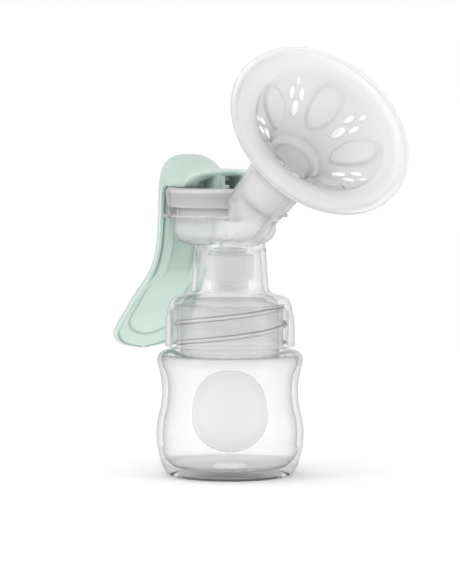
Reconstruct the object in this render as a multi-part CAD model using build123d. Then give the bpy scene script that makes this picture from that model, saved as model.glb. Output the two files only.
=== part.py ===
from build123d import *
import math
import os

# Manual breast pump on its bottle, in millimetres.
# Z is the bottle's axis and the origin is the centre of its base, on the table.
# +X points to the funnel, the squeeze handle is on -X, and the pump is symmetrical about Y = 0.

# Gap left where one piece seats on another
seat_gap = 0.1

# Bottle
base_radius = 26.8
base_recess_radius = 23.5
base_recess_depth = 0.8
floor_thickness = 3.0
heel_radius = 31.2
heel_z = 7.5
belly_radius = 32.95
belly_z = 18.3
waist_radius = 30.35
waist_z = 37.0
shoulder_radius = 32.4
shoulder_z = 51.0
shoulder_corner = 3.8
shoulder_top_z = 55.6
bottle_wall = 1.8
neck_band_radius = 24.8
neck_band_height = 1.6
neck_radius = 23.7
neck_wall = 1.9
neck_height = 20.6
floor_dome_radius = 8.2
floor_dome_height = 2.8

# Two-start thread on the bottle's neck
thread_starts = 2
thread_lead = 17.6
thread_crest_radius = 25.5
thread_ridge_width = 2.0
thread_ridge_sink = 0.4
thread_turns = 0.72
thread_start_z = 58.6

# Printed badge on the bottle's side, bare
badge_radius = 17.8
badge_thickness = 0.25
badge_z = 31.6
badge_turn = -30.0

# Collar of the pump body, which screws onto the neck
collar_radius = 28.85
collar_bottom_z = 57.6
collar_straight_height = 7.0
collar_top_radius = 27.1
collar_top_z = 76.5
collar_shoulder_z = 84.0
thread_clearance = 0.6
neck_clearance = 0.6
thread_bore_height = 15.4

# Neck tube of the pump body
tower_bottom_radius = 17.1
tower_top_radius = 15.6
tower_wall = 2.1
tower_ceiling_z = 100.8

# Valve spout under the bowl, and the duckbill valve pushed onto it
spout_radius = 6.0
spout_bore = 4.4
spout_length = 12.0
valve_fit = 0.05
valve_collar_radius = 7.4
valve_collar_height = 2.8
valve_radius = 10.5
valve_body_height = 10.7
valve_skirt_radius = 8.4
valve_skirt_height = 5.2
valve_bill_height = 11.5
valve_bill_width = 11.0
valve_bill_thickness = 2.6
valve_wall = 1.3
valve_bill_step = 0.6
valve_seat_step = 1.0
valve_slit = 0.5

# Bowl that holds the diaphragm, on its own axis behind the bottle's axis
bowl_x = -4.9
bowl_radius = 22.9
bowl_wall = 2.0
bowl_bottom_z = 102.8
bowl_floor_z = 104.8
bowl_corner = 7.0
bowl_rim_z = 126.4
flange_width = 5.2
flange_z = 115.0
flange_thickness = 1.3
flange_notch_margin = 0.4

# Silicone diaphragm: a lip over the bowl's rim and a shallow cup inside it
lip_bottom_z = 119.2
lip_bottom_wall = 2.1
lip_flare = 1.4
lip_top_z = 127.6
lip_edge = 0.8
diaphragm_wall = 1.3
diaphragm_fit = 0.15
cup_floor_z = 115.0
cup_floor_radius = 14.0
cup_bend_z = 118.4
sweep_clearance = 0.6

# Stem that joins the diaphragm to the handle
stem_disc_radius = 11.0
stem_disc_thickness = 1.7
stem_radius = 3.0
stem_bar_radius = 2.0
stem_bar_length = 17.0
stem_bar_z = 125.0

# Funnel and its tube, on an axis tilted up from +X; depth runs back from the rim's front plane
funnel_tilt = 33.0
rim_x = 75.4
rim_z = 155.1
funnel_rim_depth = 2.7
funnel_rim_turn_in = 1.0
funnel_rim_turn_depth = 5.0
funnel_flare = ((30.4, 10.0), (21.8, 20.0), (15.6, 30.0), (13.2, 40.0))
funnel_wall = 1.9
tube_radius = 12.2
tube_depth = 62.0
tube_end_depth = 77.3
tube_bore = 8.7
cushion_stop_depth = 54.0
rim_keep_out = 1.3
passage_top_z = 113.9

# Where the clear moulding is cut into its three nodes
neck_core_gap = 1.0
tube_cut_depth = 62.0

# Massage cushion in the funnel
cushion_radius = 42.0
cushion_lip_width = 12.0
cushion_lip_dip = 3.0
cushion_wall = 1.6
cushion_skirt_depth = 5.4
cushion_skirt_wall = 2.2
cushion_rim_gap = 2.6
cushion_gap = 0.3
cushion_edge_radius = 1.8
cushion_throat_length = 4.0
cushion_seat_margin = 1.0
cushion_bell = ((22.0, 8.0), (18.5, 11.0), (12.0, 20.0), (9.6, 27.0))
cushion_tunnel_radius = 9.2
cushion_tunnel_depth = 50.0
petal_count = 5
petal_centre_radius = 20.6
petal_centre_depth = 9.6
petal_length = 19.0
petal_width = 10.5
petal_rise = 1.5
petal_slope = 52.0
drop_sizes = ((18.2, 0.0, 5.4), (22.2, 1.9, 3.9), (22.2, -1.9, 3.9), (26.0, 0.0, 3.2))
drop_rise = 0.4

# Pivot between the pump body and the handle: a bar on the flange, held by two open clips
pivot_bar_radius = 2.0
pivot_bar_length = 26.0
pivot_web_half_width = 1.9
pivot_end_web_width = 2.9
clip_outer_radius = 4.0
clip_running_clearance = 0.05
clip_side_clearance = 0.5
clip_opening_half_angle = 50.0

# Lever of the handle: a trough carried down a path that bends out from the pump to its tip.
# Each station: X and Z of the front of its borders, half width, lean in degrees, trough depth.
lever_stations = (
    (-35.9, 132.0, 14.6, 0.0, 4.3),
    (-36.0, 118.0, 15.6, 0.0, 4.3),
    (-37.2, 106.0, 15.7, 5.0, 4.3),
    (-40.3, 96.3, 15.5, 24.0, 4.0),
    (-46.4, 87.5, 15.5, 41.0, 3.4),
    (-59.0, 75.6, 16.9, 46.0, 3.1),
    (-72.3, 62.7, 18.9, 45.0, 3.0),
    (-82.5, 52.3, 19.3, 44.0, 2.8),
)
lever_wall = 2.6
lever_border = 2.8
lever_side = 1.6
lever_trough_sink = 0.6
paddle_end_length = 16.0
grip_recess_depth = 0.6
grip_recess_length = 34.0
grip_recess_top_width = 13.0
grip_recess_bottom_width = 22.0
grip_recess_tip_gap = 6.5

# Hump over the pivot and hood over the bowl
hump_x = -36.2
hump_z = 129.6
hump_rear_length = 7.2
hump_front_length = 14.0
hump_half_width = 15.4
hump_height = 13.4
hump_ring_count = 9
hood_top_z = 136.2
hood_bottom_z = 128.3
hood_front_x = -1.0
hood_half_width = 21.0
hood_widest_x = -10.0
hood_rear_x = -37.0
hood_rear_half_width = 10.5
hood_wall = 2.8
hood_corner = 7.0
hood_hollow_rear_x = -30.0

# Hooks under the hood that take the stem's crossbar
hook_inner_y = 5.2
hook_thickness = 2.8
hook_rear_length = 5.0
hook_front_length = 9.5
hook_drop = 4.2
hook_slot_clearance = 0.35
hook_slot_travel = 5.6
hook_mouth = 3.4

# Values worked out from the sizes above
neck_top_z = shoulder_top_z + neck_height
neck_bore = neck_radius - neck_wall
lip_bottom_radius = bowl_radius + lip_bottom_wall
lip_top_radius = lip_bottom_radius + lip_flare
diaphragm_sweep_radius = lip_top_radius + sweep_clearance
flange_radius = bowl_radius + flange_width
cushion_lip_inner_radius = cushion_radius - cushion_lip_width
funnel_rim_radius = cushion_radius - cushion_skirt_wall - cushion_rim_gap
pivot_x = bowl_x - flange_radius
pivot_z = flange_z + flange_thickness / 2
spout_bottom_z = tower_ceiling_z - spout_length
stem_top_z = cup_floor_z + seat_gap + stem_disc_thickness
funnel_plane = Plane(
    origin=(rim_x, 0, rim_z),
    x_dir=(-math.sin(math.radians(funnel_tilt)), 0, math.cos(math.radians(funnel_tilt))),
    z_dir=(math.cos(math.radians(funnel_tilt)), 0, math.sin(math.radians(funnel_tilt))),
)
bowl_place = Pos(bowl_x, 0, 0)


def turned(face):
    # A profile drawn as (radius, height) in the XZ plane, turned about Z.
    return revolve(face, axis=Axis.Z)


def closed_face(*edges):
    return Plane.XZ * make_face(Curve() + list(edges))


def line(*points):
    return Polyline(*points)


def smooth(*points, start=None, end=None):
    if start is None:
        return Spline(*points)
    return Spline(*points, tangents=[start, end])


def slab(low, high):
    # A box from its two opposite corners.
    centre = [(a + b) / 2 for a, b in zip(low, high)]
    size = [b - a for a, b in zip(low, high)]
    return Pos(*centre) * Box(*size)


def tall_disc(radius, low_z, high_z):
    return Pos(0, 0, (low_z + high_z) / 2) * Cylinder(radius, high_z - low_z)


def bottle_side(inset, bottom_radius, bottom_z):
    # The wavy side of the bottle, moved inwards by inset, from its base to its shoulder.
    return Spline(
        (bottom_radius, bottom_z),
        (heel_radius - inset, heel_z + inset / 2),
        (belly_radius - inset, belly_z),
        (waist_radius - inset, waist_z),
        (shoulder_radius - inset, shoulder_z),
        tangents=[(1, 0.3), (0.28, 1), (0, 1), (0, 1), (0, 1)],
    )


def shoulder_arc(inset):
    radius = shoulder_corner - inset
    centre = shoulder_radius - shoulder_corner
    return CenterArc((centre, shoulder_z), radius, 0, 90)


def bottle_outside():
    corner_x = shoulder_radius - shoulder_corner
    corner_z = shoulder_z + shoulder_corner
    band_top = shoulder_top_z + neck_band_height
    return closed_face(
        line((0, 0), (base_radius, 0)),
        bottle_side(0, base_radius, 0),
        shoulder_arc(0),
        line(
            (corner_x, corner_z), (neck_band_radius, shoulder_top_z), (neck_band_radius, band_top),
            (neck_radius, band_top), (neck_radius, neck_top_z), (0, neck_top_z), (0, 0),
        ),
    )


def bottle_inside():
    corner_x = shoulder_radius - shoulder_corner
    corner_z = shoulder_z + shoulder_corner - bottle_wall
    bottom_radius = base_radius - bottle_wall
    return closed_face(
        line((0, floor_thickness), (bottom_radius, floor_thickness)),
        bottle_side(bottle_wall, bottom_radius, floor_thickness),
        shoulder_arc(bottle_wall),
        line(
            (corner_x, corner_z), (neck_bore, shoulder_top_z - bottle_wall),
            (neck_bore, neck_top_z + 1),
            (0, neck_top_z + 1), (0, floor_thickness),
        ),
    )


def thread_ridge():
    # One start of the thread: a flat-topped ridge carried up a helix on the neck.
    height = thread_lead * thread_turns
    root = neck_radius - thread_ridge_sink
    path = Helix(thread_lead, height, root)
    rise = thread_crest_radius - root
    half = thread_ridge_width / 2
    section = Plane(origin=path @ 0, x_dir=(1, 0, 0), z_dir=path % 0) * make_face(
        Polyline((0, -half - rise / 3), (rise, -half / 2), (rise, half / 2), (0, half + rise / 3),
                 close=True)
    )
    return Pos(0, 0, thread_start_z) * sweep(section, path=path, is_frenet=True)


def make_bottle():
    bottle = turned(bottle_outside()) - turned(bottle_inside())
    bottle -= tall_disc(base_recess_radius, -1, base_recess_depth)
    dome = Pos(0, 0, floor_thickness) * Cone(
        floor_dome_radius, floor_dome_radius / 2, floor_dome_height,
        align=(Align.CENTER, Align.CENTER, Align.MIN)
    )
    bottle += dome
    for start in range(thread_starts):
        bottle += Rot(0, 0, 360 * start / thread_starts) * thread_ridge()
    return bottle


def make_badge():
    # A thin print on the bottle: a skin that follows its side, cut to a round patch.
    outer_radius = base_radius + badge_thickness
    skin = closed_face(
        line((0, shoulder_z), (0, 0), (outer_radius, 0)),
        bottle_side(-badge_thickness, outer_radius, 0),
        line((shoulder_radius + badge_thickness, shoulder_z), (0, shoulder_z)),
    )
    patch = Rot(0, 0, badge_turn) * Pos(belly_radius, 0, badge_z) * Rot(0, 90, 0) * Cylinder(
        badge_radius, belly_radius
    )
    return (turned(skin) & patch) - turned(bottle_outside())


def collar_outside():
    straight_top = collar_bottom_z + collar_straight_height
    return closed_face(
        line((0, tower_ceiling_z), (0, collar_bottom_z), (collar_radius, collar_bottom_z),
             (collar_radius, straight_top)),
        Spline(
            (collar_radius, straight_top), (collar_top_radius, collar_top_z),
            tangents=[(0, 1), (-0.25, 1)],
        ),
        Spline(
            (collar_top_radius, collar_top_z), (tower_bottom_radius, collar_shoulder_z),
            tangents=[(-0.5, 2.2), (-0.08, 1)],
        ),
        line((tower_bottom_radius, collar_shoulder_z), (tower_top_radius, bowl_floor_z),
             (0, bowl_floor_z), (0, tower_ceiling_z)),
    )


def collar_inside():
    thread_bore = thread_crest_radius + thread_clearance
    bore = neck_radius + neck_clearance
    thread_top = collar_bottom_z + thread_bore_height
    cavity_radius = neck_bore
    tower_bore = tower_bottom_radius - tower_wall
    tower_bore_top = tower_top_radius - tower_wall
    return closed_face(
        line((0, collar_bottom_z - 1), (thread_bore, collar_bottom_z - 1), (thread_bore, thread_top),
             (bore, thread_top + thread_bore - bore), (bore, neck_top_z), (cavity_radius, neck_top_z)),
        Spline(
            (cavity_radius, neck_top_z), (tower_bore, collar_shoulder_z),
            tangents=[(-0.6, 1), (0, 1)],
        ),
        line((tower_bore, collar_shoulder_z), (tower_bore_top, tower_ceiling_z), (0, tower_ceiling_z),
             (0, collar_bottom_z - 1)),
    )


def bowl_outside():
    straight = bowl_radius - bowl_corner
    return closed_face(
        line((0, bowl_rim_z), (0, bowl_bottom_z), (straight, bowl_bottom_z)),
        CenterArc((straight, bowl_bottom_z + bowl_corner), bowl_corner, -90, 90),
        line((bowl_radius, bowl_bottom_z + bowl_corner), (bowl_radius, bowl_rim_z), (0, bowl_rim_z)),
    )


def bowl_inside():
    bore = bowl_radius - bowl_wall
    corner = bowl_corner - bowl_wall
    return closed_face(
        line((0, bowl_rim_z + 1), (0, bowl_floor_z), (bore - corner, bowl_floor_z)),
        CenterArc((bore - corner, bowl_floor_z + corner), corner, -90, 90),
        line((bore, bowl_floor_z + corner), (bore, bowl_rim_z + 1), (0, bowl_rim_z + 1)),
    )


def funnel_throat():
    # Where the cushion's tunnel slides in: its outer radius plus the gap.
    return cushion_tunnel_radius + cushion_wall + cushion_gap


def flare_points(wall):
    # The flare's side, one wall in, from just behind the rim to the start of the tube.
    points = [(funnel_rim_radius - funnel_rim_turn_in, funnel_rim_turn_depth), *funnel_flare]
    return [(max(radius - wall, funnel_throat()), -depth) for radius, depth in points]


def funnel_outside():
    flare = flare_points(0)
    return closed_face(
        line((0, -funnel_rim_depth), (funnel_rim_radius, -funnel_rim_depth)),
        smooth((funnel_rim_radius, -funnel_rim_depth), *flare),
        line(flare[-1], (tube_radius, -tube_depth), (tube_radius, -tube_end_depth)),
        CenterArc((0, -tube_end_depth), tube_radius, -90, 90),
        line((0, -tube_end_depth - tube_radius), (0, -funnel_rim_depth)),
    )


def funnel_inside():
    flare = flare_points(funnel_wall)
    mouth = funnel_rim_radius - funnel_wall
    return closed_face(
        line((0, 0), (mouth, 0), (mouth, -funnel_rim_depth)),
        smooth((mouth, -funnel_rim_depth), *flare),
        line(flare[-1], (funnel_throat(), -cushion_stop_depth), (tube_bore, -cushion_stop_depth),
             (tube_bore, -tube_end_depth)),
        CenterArc((0, -tube_end_depth), tube_bore, -90, 90),
        line((0, -tube_end_depth - tube_bore), (0, 0)),
    )


def web_spans():
    # The Y spans where the pivot bar is joined to the flange, between the handle's clips.
    end = pivot_bar_length / 2
    return (
        (-end, -end + pivot_end_web_width),
        (-pivot_web_half_width, pivot_web_half_width),
        (end - pivot_end_web_width, end),
    )


def clip_spans():
    spans = web_spans()
    return (
        (spans[0][1] + clip_side_clearance, spans[1][0] - clip_side_clearance),
        (spans[1][1] + clip_side_clearance, spans[2][0] - clip_side_clearance),
    )


def pivot_rod(radius, half_length):
    return Pos(pivot_x, 0, pivot_z) * Rot(90, 0, 0) * Cylinder(radius, 2 * half_length)


def make_flange():
    flange_top = flange_z + flange_thickness
    flange = bowl_place * tall_disc(flange_radius, flange_z, flange_top)
    notch_front = bowl_x - bowl_radius - flange_notch_margin
    for low, high in clip_spans():
        flange -= slab(
            (pivot_x - 1, low - clip_side_clearance, flange_z - 1),
            (notch_front, high + clip_side_clearance, flange_top + 1),
        )
    for low, high in web_spans():
        flange += slab((pivot_x, low, flange_z), (notch_front, high, flange_top))
    return flange + pivot_rod(pivot_bar_radius, pivot_bar_length / 2)


def make_pump_body():
    flange_top = flange_z + flange_thickness
    bowl_solid = bowl_place * turned(bowl_outside())
    tube_solid = funnel_plane.location * turned(funnel_outside())
    tube_solid -= bowl_place * tall_disc(diaphragm_sweep_radius, flange_top, lip_top_z + tube_radius)
    body = turned(collar_outside()) + bowl_solid + tube_solid
    body -= bowl_place * turned(bowl_inside())
    bowl_bore = bowl_place * tall_disc(bowl_radius - bowl_wall, flange_z - 1, flange_top + 1)
    body += make_flange() - bowl_bore
    body -= turned(collar_inside())
    # The tube's bore stops short of the diaphragm's seat and enters the bowl below the flange.
    keep_radius = diaphragm_sweep_radius + rim_keep_out
    keep = bowl_place * tall_disc(keep_radius, passage_top_z, lip_top_z + tube_radius)
    body -= funnel_plane.location * turned(funnel_inside()) - keep
    body += tall_disc(spout_radius, spout_bottom_z, bowl_floor_z)
    body -= tall_disc(spout_bore, spout_bottom_z - 1, bowl_floor_z + 1)
    return body


def make_valve():
    # A sleeve for the spout, a skirt, and a bill that flattens to a slit across the pump.
    bore = spout_radius + valve_fit
    channel = bore - valve_seat_step
    top = tower_ceiling_z
    body_top = top - valve_collar_height
    body_bottom = body_top - valve_body_height
    skirt_bottom = body_bottom - valve_skirt_height
    bill_bottom = skirt_bottom - valve_bill_height
    valve = tall_disc(valve_collar_radius, body_top, top)
    valve += tall_disc(valve_radius, body_bottom, body_top)
    valve += tall_disc(valve_skirt_radius, skirt_bottom, body_bottom)
    valve += loft([
        Pos(0, 0, skirt_bottom) * Circle(valve_skirt_radius - valve_bill_step),
        Pos(0, 0, bill_bottom) * SlotOverall(valve_bill_width, valve_bill_thickness, rotation=90),
    ])
    valve -= tall_disc(bore, spout_bottom_z - seat_gap, top + 1)
    valve -= tall_disc(channel, skirt_bottom, top)
    slit_width = valve_bill_width - 2 * valve_wall
    valve -= loft([
        Pos(0, 0, skirt_bottom) * Circle(channel),
        Pos(0, 0, bill_bottom) * SlotOverall(slit_width, valve_slit, rotation=90),
    ])
    return valve


def make_diaphragm():
    rim_out = bowl_radius + diaphragm_fit
    rim_in = bowl_radius - bowl_wall - diaphragm_fit
    cup_radius = rim_in - diaphragm_wall
    under = cup_floor_z - diaphragm_wall
    rim_top = bowl_rim_z + diaphragm_fit
    section = closed_face(
        line((0, cup_floor_z), (cup_floor_radius, cup_floor_z), (cup_radius, cup_bend_z),
             (cup_radius, lip_top_z), (lip_top_radius - lip_edge, lip_top_z),
             (lip_top_radius, lip_top_z - lip_edge),
             (lip_bottom_radius, lip_bottom_z), (rim_out, lip_bottom_z), (rim_out, rim_top),
             (rim_in, rim_top), (rim_in, cup_bend_z - diaphragm_wall / 2), (cup_floor_radius, under),
             (0, under), (0, cup_floor_z)),
    )
    return bowl_place * turned(section)


def make_stem():
    bottom = cup_floor_z + seat_gap
    stem = tall_disc(stem_disc_radius, bottom, stem_top_z)
    stem += tall_disc(stem_radius, bottom, stem_bar_z)
    stem += Pos(0, 0, stem_bar_z) * Rot(90, 0, 0) * Cylinder(stem_bar_radius, stem_bar_length)
    return bowl_place * stem


def cushion_profile():
    # Front face from the lip to the tunnel's end, then the back face out to the skirt.
    crest = (cushion_lip_inner_radius + cushion_radius) / 2
    bell = [(radius, -depth) for radius, depth in cushion_bell]
    back = [(radius + cushion_wall, height) for radius, height in bell]
    throat_top = bell[-1][1] - cushion_throat_length
    tunnel_outer = cushion_tunnel_radius + cushion_wall
    skirt_inner = cushion_radius - cushion_skirt_wall
    lip_back = -funnel_rim_depth + cushion_gap
    seat_radius = funnel_rim_radius - funnel_wall - cushion_seat_margin
    return closed_face(
        smooth((cushion_tunnel_radius, throat_top), *reversed(bell),
               (cushion_lip_inner_radius, -cushion_lip_dip), (crest, 0), start=(0, 1), end=(1, 0)),
        smooth((crest, 0), (cushion_radius, -cushion_edge_radius), start=(1, 0), end=(0, -1)),
        line((cushion_radius, -cushion_edge_radius), (cushion_radius, -cushion_skirt_depth),
             (skirt_inner, -cushion_skirt_depth), (skirt_inner, lip_back), (seat_radius, lip_back)),
        smooth((seat_radius, lip_back), (cushion_lip_inner_radius, -cushion_lip_dip - cushion_wall),
               *back, (tunnel_outer, throat_top), start=(-1, -0.2), end=(0, -1)),
        line((tunnel_outer, throat_top), (tunnel_outer, -cushion_tunnel_depth),
             (cushion_tunnel_radius, -cushion_tunnel_depth), (cushion_tunnel_radius, throat_top)),
    )


def pad(centre_radius, side, depth, length, width, rise):
    # A flat oval dome lying on the bell's slope, long axis along the slope.
    dome = scale(Sphere(1), by=(length / 2, width / 2, rise))
    return Pos(centre_radius, side, -depth) * Rot(0, -petal_slope, 0) * dome


def bell_depth(radius):
    # Depth of the bell's front face at a radius, by straight steps between its points.
    points = sorted([(cushion_lip_inner_radius, cushion_lip_dip), *cushion_bell])
    for (r0, d0), (r1, d1) in zip(points, points[1:]):
        if r0 <= radius <= r1:
            return d0 + (d1 - d0) * (radius - r0) / (r1 - r0)
    return cushion_lip_dip


def make_cushion():
    cushion = turned(cushion_profile())
    step = 360 / petal_count
    for index in range(petal_count):
        petal = pad(petal_centre_radius, 0, petal_centre_depth, petal_length, petal_width, petal_rise)
        cushion += Rot(0, 0, step * (index + 0.5)) * petal
        for radius, side, length in drop_sizes:
            drop = pad(radius, side, bell_depth(radius), length, length / 2, drop_rise)
            cushion += Rot(0, 0, step * index) * drop
    return funnel_plane.location * cushion


def station_plane(x, z, lean):
    # Across the lever: local X is Y, local Y is the way the trough's open face looks.
    turn = math.radians(lean)
    return Plane(origin=(x, 0, z), x_dir=(0, 1, 0), z_dir=(-math.sin(turn), 0, -math.cos(turn)))


def lever_section(x, z, half_width, lean, depth):
    # Flat front, two short sides and a round back.
    face = make_face(Curve() + [
        ThreePointArc((-half_width, -lever_side), (0, -depth - lever_wall), (half_width, -lever_side)),
        Polyline((half_width, -lever_side), (half_width, 0), (-half_width, 0),
                 (-half_width, -lever_side)),
    ])
    return station_plane(x, z, lean) * face


def trough_section(x, z, half_width, lean, depth):
    # What is hollowed out of the front, between the two borders.
    inner = half_width - lever_border
    face = make_face(Curve() + [
        ThreePointArc((-inner, -lever_trough_sink), (0, -depth), (inner, -lever_trough_sink)),
        Polyline((inner, -lever_trough_sink), (inner, 1), (-inner, 1), (-inner, -lever_trough_sink)),
    ])
    return station_plane(x, z, lean) * face


def paddle_plane():
    # The lever's tip seen square on: local X is Y, local Y runs up the lever from the tip.
    x, z, _, lean, _ = lever_stations[-1]
    turn = math.radians(lean)
    return Plane(origin=(x, 0, z), x_dir=(0, 1, 0), z_dir=(math.cos(turn), 0, -math.sin(turn)))


def round_tip(shape, inset):
    # Cut the end to a half ellipse that stands inside the lever's outline by the inset.
    half = lever_stations[-1][2]
    reach = 2 * half
    place = paddle_plane()
    end = Pos(0, paddle_end_length / 2 - 1, 0) * Box(2 * reach, paddle_end_length + 2, 2 * reach)
    oval = make_face(Curve() + [
        EllipticalCenterArc((0, paddle_end_length), half - inset, paddle_end_length - inset,
                            start_angle=180, arc_size=180),
        Line((half - inset, paddle_end_length), (inset - half, paddle_end_length)),
    ])
    return shape - place * (end - extrude(oval, amount=reach, both=True))


def make_lever():
    body = loft([lever_section(*station) for station in lever_stations])
    trough = loft([trough_section(*station) for station in lever_stations])
    return round_tip(body, 0) - round_tip(trough, lever_border)


def grip_recess():
    # A teardrop pressed into the trough near its tip.
    top = grip_recess_tip_gap + grip_recess_length
    low_radius = grip_recess_bottom_width / 2
    high_radius = grip_recess_top_width / 2
    outline = make_hull([
        CenterArc((0, grip_recess_tip_gap + low_radius), low_radius, 0, 360),
        CenterArc((0, top - high_radius), high_radius, 0, 360),
    ])
    depth = lever_stations[-2][4] + grip_recess_depth
    return paddle_plane() * Pos(0, 0, -depth) * extrude(outline, amount=depth)


def hood_plan():
    # Plan of the hood: a spade that widens from the hump to its open front.
    right = Spline(
        (hood_rear_x, hood_rear_half_width), (hood_widest_x, hood_half_width), (hood_front_x, 0),
        tangents=[(1, 0.6), (1, 0), (0, -1)],
    )
    rear = Polyline((hood_rear_x, -hood_rear_half_width), (hood_rear_x, hood_rear_half_width))
    return make_face(Curve() + [right, mirror(right, about=Plane.XZ), rear])


def hollow_plan():
    # Plan of the space under the hood, which runs out through its front.
    side = hood_half_width - hood_wall
    rear_side = hood_rear_half_width - hood_wall
    return make_face(Polyline(
        (hood_hollow_rear_x, rear_side), (hood_widest_x, side), (hood_half_width, side),
        (hood_half_width, -side), (hood_widest_x, -side), (hood_hollow_rear_x, -rear_side), close=True,
    ))


def make_hood():
    # The plan outline cut by an arch seen from the front, which rounds the hood's shoulders.
    height = 2 * (hood_top_z - hood_bottom_z)
    length = hood_front_x - hood_rear_x
    hood = Pos(0, 0, hood_bottom_z) * extrude(hood_plan(), amount=height)
    arch = Plane.YZ * Pos(0, hood_top_z - height / 2, 0) * RectangleRounded(
        2 * hood_half_width, height, hood_corner
    )
    return hood & Pos(hood_rear_x, 0, 0) * extrude(arch, amount=length, dir=(1, 0, 0))


def make_hump():
    # An egg-shaped hump: steep at the rear, drawn out towards the hood at the front.
    rings = []
    for step in range(hump_ring_count):
        angle = math.pi / 2 * step / hump_ring_count
        shrink = math.cos(angle)
        centre = hump_x + shrink * (hump_front_length - hump_rear_length) / 2
        ring = Ellipse(shrink * (hump_front_length + hump_rear_length) / 2, shrink * hump_half_width)
        rings.append(Pos(centre, 0, hump_z + hump_height * math.sin(angle)) * ring)
    return loft(rings)


def make_hooks():
    # Two plates under the hood with a long slot each for the stem's crossbar.
    slot_radius = stem_bar_radius + hook_slot_clearance
    bottom = stem_bar_z - hook_drop
    top = hood_top_z - hood_wall
    hooks = None
    for side in (-1, 1):
        inner = side * hook_inner_y
        outer = side * (hook_inner_y + hook_thickness)
        low, high = min(inner, outer), max(inner, outer)
        hook = slab((bowl_x - hook_rear_length, low, bottom), (bowl_x + hook_front_length, high, top))
        slot = slab((bowl_x, low - 1, stem_bar_z - slot_radius),
                    (bowl_x + hook_slot_travel, high + 1, stem_bar_z + slot_radius))
        for end_x in (bowl_x, bowl_x + hook_slot_travel):
            slot += Pos(end_x, (low + high) / 2, stem_bar_z) * Rot(90, 0, 0) * Cylinder(
                slot_radius, hook_thickness + 2
            )
        mouth = slab((bowl_x - hook_mouth / 2, low - 1, bottom - 1),
                     (bowl_x + hook_mouth / 2, high + 1, stem_bar_z))
        hook -= slot + mouth
        hooks = hook if hooks is None else hooks + hook
    return hooks


def make_clips():
    # Open rings round the pivot bar, each on a block that runs back into the lever.
    root_x = lever_stations[1][0] - lever_stations[1][4] - lever_wall / 2
    clips = None
    for low, high in clip_spans():
        centre = (low + high) / 2
        ring = Pos(pivot_x, centre, pivot_z) * Rot(90, 0, 0) * Cylinder(clip_outer_radius, high - low)
        ring += slab((root_x, low, pivot_z - clip_outer_radius),
                     (pivot_x - pivot_bar_radius, high, pivot_z + clip_outer_radius))
        reach = 2 * clip_outer_radius
        rise = reach * math.tan(math.radians(clip_opening_half_angle))
        wedge = Plane.XZ * make_face(Polyline((0, 0), (reach, rise), (reach, -rise), close=True))
        ring -= Pos(pivot_x, centre, pivot_z) * extrude(wedge, amount=high - low, both=True)
        clips = ring if clips is None else clips + ring
    return clips


def make_handle():
    handle = make_lever() + make_hump() + make_hood()
    handle -= grip_recess()
    hollow_height = hood_top_z - hood_wall - hood_bottom_z
    handle -= Pos(0, 0, hood_bottom_z) * extrude(hollow_plan(), amount=hollow_height)
    handle += make_hooks() + make_clips()
    groove = pivot_bar_radius + clip_running_clearance
    return handle - pivot_rod(groove, pivot_bar_length / 2 + clip_side_clearance)


def collar_space():
    # Everything below the neck's ceiling, apart from the spout that hangs down inside it.
    reach = 2 * collar_radius
    core = tower_top_radius - tower_wall - neck_core_gap
    space = slab((-reach, -reach, collar_bottom_z - 1), (reach, reach, tower_ceiling_z))
    return space - tall_disc(core, collar_bottom_z - 2, tower_ceiling_z + 1)


def funnel_space():
    # Everything in front of the cut across the funnel's tube, apart from the bowl's own wall.
    reach = 2 * funnel_rim_radius
    space = Pos(0, 0, reach / 2 - tube_cut_depth) * Box(2 * reach, 2 * reach, reach)
    return funnel_plane.location * space - bowl_place * tall_disc(bowl_radius, bowl_bottom_z, bowl_rim_z)


def make_pump_nodes():
    # One clear moulding, cut into three simple nodes that touch: collar, bowl and funnel.
    body = make_pump_body()
    collar = body & collar_space()
    funnel = body & funnel_space()
    return {
        "pump_collar": collar,
        "pump_funnel": funnel,
        "pump_bowl": body - collar_space() - funnel_space(),
    }


parts = {
    "bottle": make_bottle(),
    "bottle_badge": make_badge(),
    **make_pump_nodes(),
    "duckbill_valve": make_valve(),
    "diaphragm": make_diaphragm(),
    "diaphragm_stem": make_stem(),
    "handle": make_handle(),
    "massage_cushion": make_cushion(),
}

os.makedirs("parts", exist_ok=True)
for name, shape in parts.items():
    export_step(shape, f"parts/{name}.step")
    print(name)
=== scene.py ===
import math
import bmesh
import bpy
import numpy as np
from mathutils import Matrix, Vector


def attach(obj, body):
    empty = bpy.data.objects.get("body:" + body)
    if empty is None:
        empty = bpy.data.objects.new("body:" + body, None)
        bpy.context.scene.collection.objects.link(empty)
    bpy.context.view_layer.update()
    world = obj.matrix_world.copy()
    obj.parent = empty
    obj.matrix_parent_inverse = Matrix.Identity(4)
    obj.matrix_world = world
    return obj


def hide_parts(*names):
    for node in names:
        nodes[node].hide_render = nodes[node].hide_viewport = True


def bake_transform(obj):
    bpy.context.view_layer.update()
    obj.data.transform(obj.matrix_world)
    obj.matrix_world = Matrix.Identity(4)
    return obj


# Clear hand breast pump on its bottle: finishes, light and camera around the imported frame.
# Sizes are in millimetres in the dictionaries and become metres when a mesh is made.

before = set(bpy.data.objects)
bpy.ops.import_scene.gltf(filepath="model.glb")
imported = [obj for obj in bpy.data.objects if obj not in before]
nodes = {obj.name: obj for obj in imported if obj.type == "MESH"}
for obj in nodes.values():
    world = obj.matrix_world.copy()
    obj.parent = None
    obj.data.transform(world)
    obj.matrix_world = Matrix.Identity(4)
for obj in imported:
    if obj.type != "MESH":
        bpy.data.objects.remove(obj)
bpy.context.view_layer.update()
print("frame loaded")

scene = bpy.context.scene
scene.view_settings.view_transform = "Standard"
mm = 0.001
mergeReach = 0.002 * mm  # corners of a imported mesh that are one


# mesh helpers

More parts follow.
